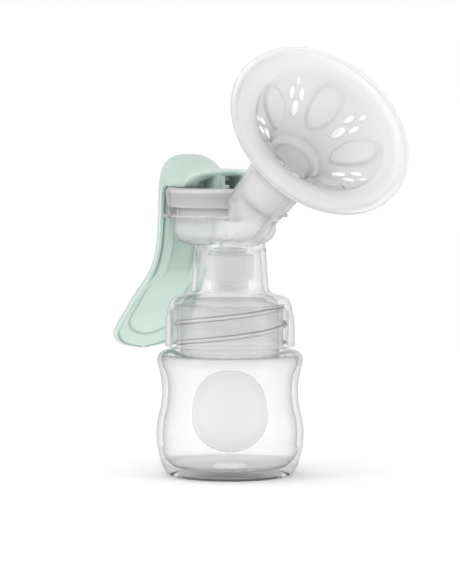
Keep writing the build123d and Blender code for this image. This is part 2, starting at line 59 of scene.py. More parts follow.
def gridFaces(rows, columns, wrap=False):
    # Quads between neighbouring rows and columns of a grid numbered row by row.
    # With wrap, the last column joins the first.
    last = columns if wrap else columns - 1
    row, column = np.meshgrid(np.arange(rows - 1), np.arange(last), indexing="ij")
    after = (column + 1) % columns
    return np.stack([row * columns + column, row * columns + after,
                     (row + 1) * columns + after, (row + 1) * columns + column], -1).reshape(-1, 4)


def closingFaces(rows, columns):
    # Quads from the last row of a wrapped grid back to its first row.
    first = np.arange(columns)
    last = first + (rows - 1) * columns
    return np.stack([last, np.roll(last, -1), np.roll(first, -1), first], -1)


def fanFaces(ring, pole):
    # Triangles from every edge of a closed ring of point numbers to one pole point.
    ring = np.asarray(ring)
    return np.stack([ring, np.roll(ring, -1), np.full(len(ring), pole)], -1)


def smoothLine(points, count):
    # Catmull-Rom: each span is the cubic through its two ends whose slopes are half the
    # difference of the neighbours; the samples are then spread evenly along the length.
    points = np.asarray(points, float)
    padded = np.vstack([2 * points[0] - points[1], points, 2 * points[-1] - points[-2]])
    t = np.linspace(0, 1, 24, endpoint=False)[:, None]
    a, b, c, d = padded[:-3, None], padded[1:-2, None], padded[2:-1, None], padded[3:, None]
    dense = 0.5 * (2 * b + (c - a) * t + (2 * a - 5 * b + 4 * c - d) * t ** 2
                   + (3 * b - a - 3 * c + d) * t ** 3)
    dense = np.vstack([dense.reshape(-1, points.shape[1]), points[-1]])
    along = np.r_[0, np.cumsum(np.linalg.norm(np.diff(dense, axis=0), axis=1))]
    wanted = np.linspace(0, along[-1], count)
    return np.stack([np.interp(wanted, along, column) for column in dense.T], -1)


def easeStep(low, high, value):
    # 3t^2 - 2t^3 of the share of the way from low to high, held at 0 and 1 outside.
    t = np.clip((value - low) / (high - low), 0, 1)
    return t * t * (3 - 2 * t)


def addPiece(name, points, faceSets, material, body=None, sharpAngle=None):
    # Points in millimetres and arrays of faces, one array for each number of corners, become
    # a smooth mesh that rides on a body.
    mesh = bpy.data.meshes.new(name)
    points = np.asarray(points, float) * mm
    sizes = np.concatenate([np.full(len(faces), faces.shape[1]) for faces in faceSets])
    corners = np.concatenate([faces.ravel() for faces in faceSets])
    mesh.vertices.add(len(points))
    mesh.vertices.foreach_set("co", points.ravel())
    mesh.loops.add(len(corners))
    mesh.loops.foreach_set("vertex_index", corners.astype(np.int32))
    mesh.polygons.add(len(sizes))
    mesh.polygons.foreach_set("loop_start", np.r_[0, np.cumsum(sizes)[:-1]].astype(np.int32))
    mesh.polygons.foreach_set("use_smooth", np.ones(len(sizes), bool))
    mesh.update(calc_edges=True)
    mesh.validate()
    if sharpAngle is not None:
        mesh.set_sharp_from_angle(angle=math.radians(sharpAngle))
    mesh.materials.append(material)
    piece = bpy.data.objects.new(name, mesh)
    scene.collection.objects.link(piece)
    if body:
        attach(piece, body)
    return piece


def paint(piece, name, values):
    # One number per vertex, which a material reads by its name.
    layer = piece.data.attributes.new(name, "FLOAT", "POINT")
    full = np.zeros(len(piece.data.vertices))
    full[:len(values)] = values
    layer.data.foreach_set("value", full.astype(np.float32))


def placesOf(items, field):
    # Where a mesh's vertices or faces are, in millimetres, as rows of x, y and z.
    places = np.empty(len(items) * 3)
    items.foreach_get(field, places)
    return (places.reshape(-1, 3) / mm).T


def lathe(profile, spokes, centre=(0.0, 0.0), shift=None):
    # Each profile point (radius, height) is carried round a circle; a first or last point on
    # the axis becomes one pole. shift(turn, height) is added to the radius.
    profile = np.asarray(profile, float)
    startsOnAxis, endsOnAxis = profile[0, 0] == 0, profile[-1, 0] == 0
    body = profile[int(startsOnAxis):len(profile) - int(endsOnAxis)]
    turn = np.linspace(0, 2 * np.pi, spokes, endpoint=False)
    radius = np.repeat(body[:, :1], spokes, 1)
    height = np.repeat(body[:, 1:], spokes, 1)
    if shift is not None:
        radius = radius + shift(turn[None, :], height, radius)
    points = np.stack([centre[0] + radius * np.cos(turn), centre[1] + radius * np.sin(turn),
                       height], -1).reshape(-1, 3)
    faceSets = [gridFaces(len(body), spokes, wrap=True)]
    ring = np.arange(spokes)
    if startsOnAxis:
        points = np.vstack([points, (centre[0], centre[1], profile[0, 1])])
        faceSets.append(fanFaces(ring[::-1], len(points) - 1))
    if endsOnAxis:
        points = np.vstack([points, (centre[0], centre[1], profile[-1, 1])])
        faceSets.append(fanFaces(ring + (len(body) - 1) * spokes, len(points) - 1))
    return points, faceSets


# materials

def startMaterial(name):
    # A node material with its tree and its one shader.
    material = bpy.data.materials.new(name)
    material.use_nodes = True
    return material, material.node_tree, material.node_tree.nodes["Principled BSDF"]


def addNode(tree, kind, **settings):
    # A node of a kind with some of its own settings.
    node = tree.nodes.new(kind)
    for key, value in settings.items():
        setattr(node, key, value)
    return node


def feed(tree, node, inputs):
    # Each named or numbered input gets a link, or a plain value.
    for label, value in inputs.items():
        if isinstance(value, bpy.types.NodeSocket):
            tree.links.new(value, node.inputs[label])
        else:
            node.inputs[label].default_value = value
    return node


def maths(tree, operation, *values, **settings):
    # The result of a sum on sockets and numbers.
    node = addNode(tree, "ShaderNodeMath", operation=operation, **settings)
    return feed(tree, node, dict(enumerate(values))).outputs[0]


def objectPlace(tree):
    # Where a point is on its own object, in metres.
    return addNode(tree, "ShaderNodeTexCoord").outputs["Object"]


def startGroup(name, numbers, results, colours=()):
    # A shared node group with named inputs and outputs.
    group = bpy.data.node_groups.new(name, "ShaderNodeTree")
    for label, default in colours:
        socket = group.interface.new_socket(name=label, in_out="INPUT", socket_type="NodeSocketColor")
        socket.default_value = default
    for label, default in numbers:
        socket = group.interface.new_socket(name=label, in_out="INPUT", socket_type="NodeSocketFloat")
        socket.default_value = default
    for label, kind in results:
        group.interface.new_socket(name=label, in_out="OUTPUT", socket_type="NodeSocket" + kind)
    return group, addNode(group, "NodeGroupInput").outputs, addNode(group, "NodeGroupOutput")


def makeMouldedSkin():
    # Shared group: a faint waviness and fine grain of moulded plastic or silicone. Roughness
    # is its middle value plus the spread times the wave; the height is grain and wave together.
    group, given, result = startGroup(
        "mouldedSkin",
        (("Roughness", 0.3), ("Spread", 0.05), ("Wave Size", 60.0), ("Grain Size", 900.0)),
        (("Roughness", "Float"), ("Bump Height", "Float")))
    place = objectPlace(group)
    wave, grain = (
        feed(group, addNode(group, "ShaderNodeTexNoise"),
             {"Vector": place, "Scale": given[size], "Detail": detail}).outputs["Fac"]
        for size, detail in (("Wave Size", 2.0), ("Grain Size", 3.0)))
    centred = maths(group, "SUBTRACT", wave, 0.5)
    rough = maths(group, "MULTIPLY_ADD", centred, given["Spread"], given["Roughness"])
    height = maths(group, "MULTIPLY_ADD", grain, 0.25, wave)
    feed(group, result, {"Roughness": rough, "Bump Height": height})
    return group


def makeShadedTint():
    # Shared group: a colour made darker where a vertex attribute and a height band say so, used for
    # painted shade and for the badge's print:
    # times 1 minus the mark's share, times 1 minus the band's.
    group, given, result = startGroup(
        "shadedTint", (("Mark", 0.0), ("Mark Depth", 0.0), ("Band", 0.0), ("Band Depth", 0.0)),
        (("Color", "Color"),), colours=(("Color", (0.8, 0.8, 0.8, 1)),))
    darker = [maths(group, "MULTIPLY", given[label], given[label + " Depth"], use_clamp=True)
              for label in ("Mark", "Band")]
    kept = [maths(group, "SUBTRACT", 1.0, share) for share in darker]
    scaled = addNode(group, "ShaderNodeVectorMath", operation="SCALE")
    feed(group, scaled, {0: given["Color"], "Scale": maths(group, "MULTIPLY", *kept)})
    feed(group, result, {"Color": scaled.outputs[0]})
    return group


mouldedSkin = makeMouldedSkin()
shadedTint = makeShadedTint()


def wearSkin(tree, shader, roughness, spread, waveSize, grainSize, bumpDistance, bumpStrength):
    # The moulded skin's roughness and bump, with a material's own values.
    skin = feed(tree, addNode(tree, "ShaderNodeGroup", node_tree=mouldedSkin),
                {"Roughness": roughness, "Spread": spread, "Wave Size": waveSize,
                 "Grain Size": grainSize}).outputs
    bump = feed(tree, addNode(tree, "ShaderNodeBump"),
                {"Strength": bumpStrength, "Distance": bumpDistance, "Height": skin["Bump Height"]})
    feed(tree, shader, {"Roughness": skin["Roughness"], "Normal": bump.outputs["Normal"]})


def heightRamp(tree, bands):
    # Each band is (height, share), joined by straight lines up the object.
    top = bands[-1][0]
    split = feed(tree, addNode(tree, "ShaderNodeSeparateXYZ"), {0: objectPlace(tree)})
    height = feed(tree, addNode(tree, "ShaderNodeMapRange"),
                  {"From Max": top * mm, "Value": split.outputs["Z"]})
    ramp = feed(tree, addNode(tree, "ShaderNodeValToRGB"), {0: height.outputs["Result"]})
    stops = ramp.color_ramp.elements
    while len(stops) < len(bands):
        stops.new(0.5)
    for stop, (level, share) in zip(stops, bands):
        stop.position = level / top
        stop.color = (share, share, share, 1)
    return ramp.outputs["Color"]


def shadeAndPrintTint(tree, shader, colour, mark=None, bands=()):
    # The colour socket goes through the shared tint: mark is (attribute, depth), bands are
    # darkness by height; both carry painted shade, and the mark also the badge's print.
    tint = feed(tree, addNode(tree, "ShaderNodeGroup", node_tree=shadedTint), {"Color": colour})
    if mark:
        painted = addNode(tree, "ShaderNodeAttribute", attribute_name=mark[0]).outputs["Fac"]
        feed(tree, tint, {"Mark": painted, "Mark Depth": mark[1]})
    if bands:
        feed(tree, tint, {"Band": heightRamp(tree, bands), "Band Depth": 1.0})
    feed(tree, shader, {"Base Color": tint.outputs["Color"]})


def mixColours(tree, share, first, second):
    # A mix of two colours by a socket.
    mix = addNode(tree, "ShaderNodeMix", data_type="RGBA")
    return feed(tree, mix, {"Factor": share, "A": (*first, 1), "B": (*second, 1)}).outputs["Result"]


def edgeTint(tree, shader, faceColour, edgeColour, power, mark=None, bands=()):
    # Colour from face-on to grazing: the facing share raised to a power picks the mix.
    facing = feed(tree, addNode(tree, "ShaderNodeLayerWeight"), {"Blend": 0.5}).outputs["Facing"]
    share = maths(tree, "POWER", facing, power)
    shadeAndPrintTint(tree, shader, mixColours(tree, share, faceColour, edgeColour), mark, bands)


def grey(level):
    # The same share of red, green and blue.
    return level, level, level


def clearPlastic(name, face, edge, power, roughness, ior, clearness, gloss, mark=None, bands=()):
    # The body bends light only a little, so what is inside stays readable; the gloss of the
    # plastic comes from a coat. Face and edge are greys.
    material, tree, shader = startMaterial(name)
    feed(tree, shader, {"Transmission Weight": clearness, "IOR": ior, "Coat Weight": gloss,
                        "Coat Roughness": 0.03, "Coat IOR": 1.5})
    edgeTint(tree, shader, grey(face), grey(edge), power, mark, bands)
    wearSkin(tree, shader, roughness, spread=0.02, waveSize=45.0, grainSize=500.0,
             bumpDistance=0.00003, bumpStrength=0.15)
    return material


def softSilicone(name, face, edge, power, roughness, through, mark=None, fade=()):
    # Milky: the share in through goes on as it does in clear silicone, and the rest is
    # spread. Fade is how far the surface is seen through by height.
    material, tree, shader = startMaterial(name)
    feed(tree, shader, {"Transmission Weight": through, "IOR": 1.41})
    if fade:
        feed(tree, shader, {"Alpha": maths(tree, "SUBTRACT", 1.0, heightRamp(tree, fade))})
    edgeTint(tree, shader, face, edge, power, mark)
    wearSkin(tree, shader, roughness, spread=0.06, waveSize=70.0, grainSize=1500.0,
             bumpDistance=0.00002, bumpStrength=0.2)
    return material


def satinPlastic(name, colour, shade, roughness, mark=None):
    # Slow cloudy variation between a colour and its shade, under a satin skin.
    material, tree, shader = startMaterial(name)
    cloud = feed(tree, addNode(tree, "ShaderNodeTexNoise"), {"Scale": 30.0, "Vector": objectPlace(tree)})
    shadeAndPrintTint(tree, shader, mixColours(tree, cloud.outputs["Fac"], colour, shade), mark)
    wearSkin(tree, shader, roughness, spread=0.05, waveSize=60.0, grainSize=2200.0,
             bumpDistance=0.00002, bumpStrength=0.25)
    return material


# how much darker by height: the bottle's base, partly for its thick plastic and partly painted
# shade; its shoulder and neck, painted shade; the diaphragm lip's side, painted shade, its top
# edge left light as a painted highlight; and how far the valve is seen through
bottleBands = ((0.0, 0.16), (1.5, 0.13), (4.4, 0.17), (5.6, 0.26), (6.4, 0.0), (49.0, 0.0),
               (52.5, 0.14), (78.0, 0.16))
lipBands = ((0.0, 0.1), (119.6, 0.05), (120.6, 0.16), (124.2, 0.26), (125.8, 0.22), (126.6, 0.0),
            (128.4, 0.0))
valveBands = ((0.0, 0.93), (80.5, 0.93), (82.5, 0.6), (86.2, 0.5), (87.2, 0.0), (104.0, 0.0))

clearBottle = clearPlastic("clearBottlePlastic", face=0.958, edge=0.12, power=3.6, roughness=0.02,
                           ior=1.02, clearness=0.96, gloss=0.18, bands=bottleBands)
# the neck's thread darkens by its painted shade attribute
clearThread = clearPlastic("clearThreadPlastic", face=0.90, edge=0.22, power=3.6, roughness=0.02,
                           ior=1.02, clearness=0.74, gloss=0.2, mark=("threadShade", 0.9))
bottleFloor = clearPlastic("bottleFloorPlastic", face=0.98, edge=0.60, power=3.0, roughness=0.2,
                           ior=1.02, clearness=0.15, gloss=0.3)
clearNeck = clearPlastic("clearNeckPlastic", face=0.975, edge=0.12, power=3.6, roughness=0.02,
                         ior=1.03, clearness=0.93, gloss=0.2)
clearColumn = clearPlastic("clearColumnPlastic", face=0.985, edge=0.12, power=3.4, roughness=0.02,
                           ior=1.03, clearness=0.82, gloss=0.2)
clearBody = clearPlastic("clearBodyPlastic", face=0.995, edge=0.12, power=3.4, roughness=0.02,
                         ior=1.04, clearness=0.70, gloss=0.3)
clearSilicone = clearPlastic("clearSilicone", face=0.98, edge=0.30, power=3.0, roughness=0.05,
                             ior=1.03, clearness=0.62, gloss=0.6, bands=lipBands)
milkySilicone = softSilicone("milkySilicone", face=(0.74, 0.735, 0.73), edge=(0.99, 0.985, 0.98),
                             power=0.8, roughness=0.45, through=0.3, fade=valveBands)
# the cushion darkens along its painted shade lines
cushionSilicone = softSilicone("cushionSilicone", face=grey(0.995), edge=grey(0.08), power=6.5,
                               roughness=0.42, through=0.78, mark=("outline", 0.15))
dropSilicone = softSilicone("dropSilicone", face=grey(1.0), edge=grey(0.98), power=2.0,
                            roughness=0.35, through=0.0)
badgePrint = softSilicone("badgePrint", face=grey(0.87), edge=grey(0.80), power=2.0, roughness=0.5,
                          through=0.75, mark=("ring", 0.04))
# the handle darkens where its painted shade attribute says so
greenPlastic = satinPlastic("greenPlastic", colour=(0.70, 0.86, 0.79), shade=(0.68, 0.84, 0.765),
                            roughness=0.42, mark=("shade", 0.45))
# the handle's green darkened: a painted shade copy for the stem and for the clips and hooks under the
# hood
shadedGreen = satinPlastic("shadedGreen", colour=(0.42, 0.54, 0.49), shade=(0.40, 0.52, 0.47),
                           roughness=0.5)

# the two imported parts that show as they are; the stem wears the painted shade green
for nodeName, material in (("duckbill_valve", milkySilicone), ("diaphragm_stem", shadedGreen)):
    for slot in nodes[nodeName].material_slots:
        slot.material = material
print("materials made")

# bottle

bottleSizes = dict(
    spokes=240, wall=2.8, neck=23.7, neckBore=21.8, neckTop=76.1,
    ridgeHeight=1.7, ridgeHalf=1.25, ridgeLow=58.2, ridgeHigh=75.4, ridgeStart=67.5,
    lead=17.8, spacing=8.9, leftTurn=-120.0, lipRound=0.7, neckFrom=57.5,
    floorTop=3.0, domeRadius=8.2, domeHeight=2.9, floorHigh=6.5,
)

# radius and height from the base ring to the shoulder
bottleSide = (
    (23.2, 0.75), (23.9, 0.55), (24.7, 0.1), (25.9, 0.0), (27.3, 0.35), (29.0, 2.0), (30.3, 4.4),
    (31.2, 7.5), (32.05, 10.6), (32.6, 13.6), (32.92, 18.3), (32.75, 21.5), (32.4, 24.0),
    (31.75, 27.0), (31.1, 29.6), (30.7, 32.0), (30.4, 35.0), (30.34, 37.1), (30.45, 40.0),
    (30.75, 42.7), (31.2, 45.3), (31.75, 47.9), (32.25, 50.2), (32.38, 51.5), (32.1, 52.9),
    (31.2, 54.3), (29.8, 55.15), (28.0, 55.5),
)


def makeBottle():
    # Outer side as a smooth line from the base ring to the shoulder, a straight neck with a
    # rounded top, and back down inside one wall in, to a thick floor with a low dome.
    sizes = bottleSizes
    side = smoothLine(bottleSide, 110)
    neck, bore, top, wall = sizes["neck"], sizes["neckBore"], sizes["neckTop"], sizes["wall"]
    lipRound, neckFrom = sizes["lipRound"], sizes["neckFrom"]
    band = [(25.6, 55.6), (24.95, 55.8), (24.8, 56.1), (24.8, 57.0), (24.4, 57.3), (neck, neckFrom)]
    climb = np.stack([np.full(110, neck), np.linspace(neckFrom + 0.1, top - lipRound, 110)], -1)
    over = np.linspace(0.15, np.pi - 0.15, 9)
    lip = np.stack([(bore + neck) / 2 + (neck - bore) / 2 * np.cos(over),
                    top - lipRound + lipRound * np.sin(over)], -1)
    down = np.stack([np.full(12, bore), np.linspace(top - lipRound - 0.1, 55.2, 12)], -1)
    shoulder = smoothLine([(bore, 55.2), (bore + 0.6, 54.2), (24.0, 53.7), (28.0, 53.6), (30.0, 52.9),
                           (30.55, 51.3), (30.4, 50.0), (29.9, 47.9)], 30)
    inside = smoothLine([(r - wall, z) for r, z in bottleSide[9:21]][::-1], 50)
    heel = smoothLine([inside[-1], (30.3, 11.0), (29.2, 8.2), (27.2, 5.6), (24.0, 3.9), (19.0, 3.2),
                       (13.0, 3.02), (sizes["domeRadius"] + 0.5, sizes["floorTop"])], 40)
    turn = np.linspace(0, np.pi / 2, 16)
    dome = np.stack([sizes["domeRadius"] * np.cos(turn) ** 0.8,
                     sizes["floorTop"] + sizes["domeHeight"] * np.sin(turn)], -1)
    dome[-1, 0] = 0
    under = [(0, 0.8), (10.0, 0.8), (20.0, 0.8)]
    profile = np.vstack([under, side, band, climb, lip, down[:-1], shoulder[:-1], inside[:-1],
                         heel, dome])

    def ridges(turnAt, height, radius):
        # the thread stands only on the outer side of the neck
        onNeck = (np.abs(radius - neck) < 0.01) & (height > neckFrom + 0.05)
        return np.where(onNeck, ridgeShape(turnAt, height) * sizes["ridgeHeight"], 0)

    return lathe(profile, sizes["spokes"], shift=ridges)


def ridgeShape(turn, height):
    # Share of the thread's full height at a turn: the distance to the nearest ridge line,
    # rounded off, and run out at both ends of the neck.
    sizes = bottleSizes
    rise = sizes["ridgeStart"] + sizes["lead"] * ((np.degrees(turn) - sizes["leftTurn"]) % 360) / 360
    off = (height - rise + sizes["spacing"] / 2) % sizes["spacing"] - sizes["spacing"] / 2
    shape = easeStep(sizes["ridgeHalf"], sizes["ridgeHalf"] * 0.35, np.abs(off))
    ends = easeStep(sizes["ridgeLow"], sizes["ridgeLow"] + 0.8, height)
    return shape * ends * easeStep(sizes["ridgeHigh"], sizes["ridgeHigh"] - 0.8, height)


def paintThreadShade(piece):
    # Painted shade: dark on the two flanks of each ridge, where its shape passes through the
    # middle, and a little over the rest of the neck, which leaves each crest light as a painted
    # highlight.
    x, y, z = placesOf(piece.data.vertices, "co")
    ridge = ridgeShape(np.arctan2(y, x), z)
    onNeck = (np.hypot(x, y) > bottleSizes["neckBore"] + 0.5) & (z > bottleSizes["neckFrom"] + 0.05)
    dark = np.clip(4 * ridge * (1 - ridge) + 0.1 * (1 - ridge), 0, 1)
    paint(piece, "threadShade", np.where(onNeck, dark, 0))


def sortBottleFaces(piece):
    # By a face's middle: 0 the body, 1 the neck over the shoulder, 2 the floor with its dome.
    for material in (clearThread, bottleFloor):
        piece.data.materials.append(material)
    x, y, z = placesOf(piece.data.polygons, "center")
    # the floor's top reaches further out than the underside
    onFloor = (z < bottleSizes["floorHigh"]) & (np.hypot(x, y) < np.where(z > 2.5, 26.0, 23.0))
    slots = np.where(onFloor, 2, z > bottleSizes["neckFrom"])
    piece.data.polygons.foreach_set("material_index", slots.astype(np.int32))


bottleShell = addPiece("bottleShell", *makeBottle(), clearBottle, "bottle")
paintThreadShade(bottleShell)
sortBottleFaces(bottleShell)
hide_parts("bottle")


badgeSizes = dict(
    radius=17.8, inner=14.1, height=31.6, turn=-30.0, wrapRadius=32.0, above=0.12, thick=0.2,
    ringSoft=0.3, rings=46, spokes=120,
)


def makeBadge():
    # A round print laid on the side: polar points in the badge's plane, wrapped round the
    # bottle at the radius its side has at that height; a front, an edge and a back. Its
    # outer ring is 1, its middle 0.
    sizes = badgeSizes
    side = smoothLine(bottleSide, 400)
    reach = np.linspace(0, 1, sizes["rings"])[1:] * sizes["radius"]
    spoke = np.linspace(0, 2 * np.pi, sizes["spokes"], endpoint=False)
    across, up = reach[:, None] * np.cos(spoke), reach[:, None] * np.sin(spoke)

    def onSide(across, up, above):
        # across runs round the bottle and up along it
        height = sizes["height"] + up
        radius = np.interp(height, side[5:, 1], side[5:, 0]) + above
        turn = math.radians(sizes["turn"]) + across / sizes["wrapRadius"]
        return np.stack([radius * np.cos(turn), radius * np.sin(turn), height], -1).reshape(-1, 3)

    low, high, centre = sizes["above"], sizes["above"] + sizes["thick"], np.zeros(1)
    points = np.vstack([onSide(across, up, high), onSide(across[::-1], up[::-1], low),
                        onSide(centre, centre, high), onSide(centre, centre, low)])
    rows, ring = 2 * len(reach), np.arange(sizes["spokes"])
    faceSets = [gridFaces(rows, sizes["spokes"], wrap=True),
                fanFaces(ring[::-1], len(points) - 2),
                fanFaces(ring + (rows - 1) * sizes["spokes"], len(points) - 1)]
    inner, soft = sizes["inner"], sizes["ringSoft"]
    outerRing = np.repeat(easeStep(inner - soft, inner + soft, reach), sizes["spokes"])
    return points, faceSets, np.concatenate([outerRing, outerRing[::-1]])


badgePoints, badgeFaces, badgeRing = makeBadge()
badge = addPiece("badge", badgePoints, badgeFaces, badgePrint, "bottle")
paint(badge, "ring", badgeRing)
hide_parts("bottle_badge")
print("bottle made")

# clear moulding

mouldingSizes = dict(neckCut=100.8, tubeCut=62.0, reach=0.02, hazeFrom=85.0)

# the slanted axis that the funnel and the cushion share, and where it meets the rim's plane
funnelAxis = dict(tilt=33.0, rimX=75.4, rimZ=155.1)


def alongFunnel(point):
    # Height of a point over the plane of the funnel's rim, along the funnel's axis.
    tilt = math.radians(funnelAxis["tilt"])
    return ((point.x / mm - funnelAxis["rimX"]) * math.cos(tilt)
            + (point.z / mm - funnelAxis["rimZ"]) * math.sin(tilt))


def ringsIn(edges):
    # Open edges sorted into closed rings by walking from edge to edge, shortest ring first.
    left, rings = dict.fromkeys(edges), []
    while left:
        ring = [next(iter(left))]
        del left[ring[0]]
        while True:
            following = next((edge for vert in ring[-1].verts for edge in vert.link_edges
                              if edge in left), None)
            if following is None:
                break
            del left[following]
            ring.append(following)
        rings.append(ring)
    return sorted(rings, key=lambda ring: sum(edge.calc_length() for edge in ring))


def joinMoulding():
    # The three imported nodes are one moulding: each copy loses its faces in the cutting planes,
    # and the rings left on both sides of a plane are bridged.
    sizes = mouldingSizes
    offsets = (lambda point: point.z / mm - sizes["neckCut"],
               lambda point: alongFunnel(point) + sizes["tubeCut"])

    def inPlane(item, offset):
        # every corner lies in a cutting plane
        return all(abs(offset(vert.co)) < sizes["reach"] for vert in item.verts)

    work = bmesh.new()
    rings = []
    for order, nodeName in enumerate(("pump_collar", "pump_bowl", "pump_funnel")):
        part = bmesh.new()
        part.from_mesh(nodes[nodeName].data)
        bmesh.ops.remove_doubles(part, verts=part.verts, dist=mergeReach)
        for face in part.faces:
            high = face.calc_center_median().z / mm > sizes["hazeFrom"]
            face.material_index = 2 if order else int(high)
        caps = [face for face in part.faces if any(inPlane(face, offset) for offset in offsets)]
        bmesh.ops.delete(part, geom=caps, context="FACES")
        cut = bpy.data.meshes.new("cut")
        part.to_mesh(cut)
        part.free()
        before = len(work.edges)
        work.from_mesh(cut)
        bpy.data.meshes.remove(cut)
        work.edges.ensure_lookup_table()
        rims = [edge for edge in work.edges[before:] if edge.is_boundary]
        rings.append([ringsIn([edge for edge in rims if inPlane(edge, offset)])
                      for offset in offsets])
    for plane in (0, 1):
        for first, second in zip(rings[plane][plane], rings[plane + 1][plane]):
            bmesh.ops.bridge_loops(work, edges=first + second)
    bmesh.ops.recalc_face_normals(work, faces=work.faces)
    mesh = bpy.data.meshes.new("pumpShell")
    work.to_mesh(mesh)
    work.free()
    mesh.polygons.foreach_set("use_smooth", np.ones(len(mesh.polygons), bool))
    mesh.set_sharp_from_angle(angle=math.radians(30))
    for material in (clearNeck, clearColumn, clearBody):  # collar, neck tube over it, the rest
        mesh.materials.append(material)
    shell = bpy.data.objects.new("pumpShell", mesh)
    scene.collection.objects.link(shell)
    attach(shell, "pump")
    return shell


pumpShell = joinMoulding()
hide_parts("pump_collar", "pump_bowl", "pump_funnel")
print("moulding joined")

# diaphragm

diaphragmSizes = dict(spokes=200, centreX=-4.9, fixedZ=126.8, floorZ=115.2)

# radius and height of the lip's outline, and of the cup from its floor's middle and back to it
diaphragmLip = (
    (19.7, 126.6), (20.2, 127.6), (21.5, 128.0), (24.3, 128.0), (25.2, 127.7), (25.9, 126.9),
    (26.25, 125.8), (26.1, 124.4), (25.6, 122.0), (25.2, 120.1), (24.8, 119.4), (24.0, 119.2),
    (23.2, 119.3), (23.05, 119.9), (23.05, 126.4), (22.6, 126.6), (20.6, 126.6),
)
diaphragmCup = (
    (0, 115.0), (6.0, 115.0), (12.6, 115.0), (14.3, 115.1), (16.2, 116.0), (18.4, 117.7),
    (19.4, 118.9), (19.65, 120.5), (19.65, 124.0), (19.65, 126.6), (20.3, 126.75), (20.75, 126.5),
    (20.75, 124.0), (20.75, 119.0), (20.4, 117.9), (18.9, 116.4), (16.6, 114.7), (14.8, 113.85),
    (13.6, 113.7), (6.0, 113.7), (0, 113.7),
)


def makeLip():
    # A closed outline turned once round the bowl's axis: the lip that grips the rim.
    line = smoothLine([*diaphragmLip, diaphragmLip[0]], 120)[:-1]
    spokes = diaphragmSizes["spokes"]
    points, faceSets = lathe(line[::-1], spokes, (diaphragmSizes["centreX"], 0))
    return points, [*faceSets, closingFaces(len(line), spokes)]


def makeCup():
    # From the middle of the floor up the wall, over and back down below: both ends on the axis.
    line = smoothLine(diaphragmCup, 130)
    line[0, 0] = line[-1, 0] = 0
    return lathe(line[::-1], diaphragmSizes["spokes"], (diaphragmSizes["centreX"], 0))


diaphragmRim = addPiece("diaphragmLip", *makeLip(), clearSilicone, "pump", sharpAngle=50)
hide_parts("diaphragm")
diaphragmBowl = addPiece("diaphragmCup", *makeCup(), clearSilicone)
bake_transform(diaphragmBowl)
print("diaphragm made")

# handle

handleSizes = dict(
    rows=300, across=110, lipRows=14,
    edgeRound=0.9, step=1.6, stepWidth=0.6, rib=1.2, ribWidth=6.6, floorStepWidth=0.5,
    groove=0.45, grooveWidth=0.6, panelLow=6.2, panelHigh=62.0,
    panelLowHalf=12.2, panelHighHalf=9.4, grooveFade=(46.0, 36.0),
    # painted shade: the outside darker than the hollow, the floor beside the rib, the hood's inside from
    # hoodFrom on, and the groove
    outsideShade=0.84, floorShade=0.34, hoodShade=0.5, hoodFrom=(-36.0, -31.0), grooveShade=0.8,
)

# boxes that hold the clips at the pivot, and the hooks and their link under the hood
handleLinkBoxes = (
    ((-38.5, -12.0, 108.0), (-28.0, 12.0, 123.0)),
    ((-12.0, -9.0, 118.0), (6.0, 9.0, 134.0)),
)

# From the tip up the lever, round the corner and forward over the bowl. Each row: X and Z of
# the border's front, half width, X and Z of the back's crest, depth of the hollow, squareness,
# width of the border and drop of the floor beside the rib.
handleStations = (
    (-81.2, 50.8, 2.0, -82.3, 51.8, 0.4, 2.0, 2.0, 0.0),
    (-79.3, 53.0, 13.2, -82.1, 55.9, 1.8, 2.0, 2.0, 0.0),
    (-76.0, 56.9, 18.3, -80.0, 61.1, 2.9, 2.0, 2.0, 0.0),
    (-71.8, 61.8, 18.9, -76.1, 66.1, 3.1, 2.0, 2.0, 0.0),
    (-65.6, 68.5, 17.9, -69.9, 72.9, 3.1, 2.0, 2.0, 0.0),
    (-59.0, 75.6, 16.9, -63.3, 80.0, 3.1, 2.0, 2.0, 0.0),
    (-52.2, 81.8, 15.9, -56.5, 86.2, 3.3, 2.0, 2.0, 0.3),
    (-46.4, 87.5, 15.5, -50.9, 91.3, 3.6, 2.0, 2.0, 1.0),
    (-42.5, 92.3, 15.5, -47.6, 95.3, 4.1, 2.1, 2.0, 1.9),
    (-39.6, 98.0, 15.5, -45.3, 100.2, 4.6, 2.1, 2.0, 2.4),
    (-37.8, 104.0, 15.6, -44.2, 105.3, 5.0, 2.1, 2.0, 2.7),
    (-36.6, 112.0, 15.7, -43.5, 112.4, 5.1, 2.1, 2.0, 2.8),
    (-36.1, 120.0, 15.6, -43.4, 120.4, 5.1, 2.1, 2.0, 2.8),
    (-35.9, 124.6, 15.5, -43.6, 127.0, 5.1, 2.1, 2.0, 2.6),
    (-35.2, 126.9, 15.5, -43.2, 133.4, 5.0, 2.3, 2.2, 2.0),
    (-33.8, 128.15, 15.6, -41.2, 138.9, 5.0, 2.5, 2.4, 1.0),
    (-31.8, 128.15, 15.8, -38.2, 142.3, 5.1, 2.5, 2.6, 0.3),
    (-29.0, 128.15, 16.2, -33.6, 140.9, 5.1, 1.95, 2.9, 0.0),
    (-25.6, 128.15, 16.8, -28.4, 138.0, 5.1, 1.8, 3.3, 0.0),
    (-21.6, 128.15, 17.7, -22.8, 136.3, 5.1, 2.0, 3.9, 0.0),
    (-17.0, 128.15, 18.9, -16.6, 136.2, 5.1, 2.5, 4.8, 0.0),
    (-12.5, 128.15, 20.1, -10.8, 136.1, 5.1, 2.9, 5.8, 0.0),
    (-8.8, 128.15, 20.7, -5.8, 136.1, 5.1, 3.0, 6.6, 0.0),
    (-6.2, 128.15, 20.7, -2.6, 135.8, 5.0, 3.0, 7.0, 0.0),
)


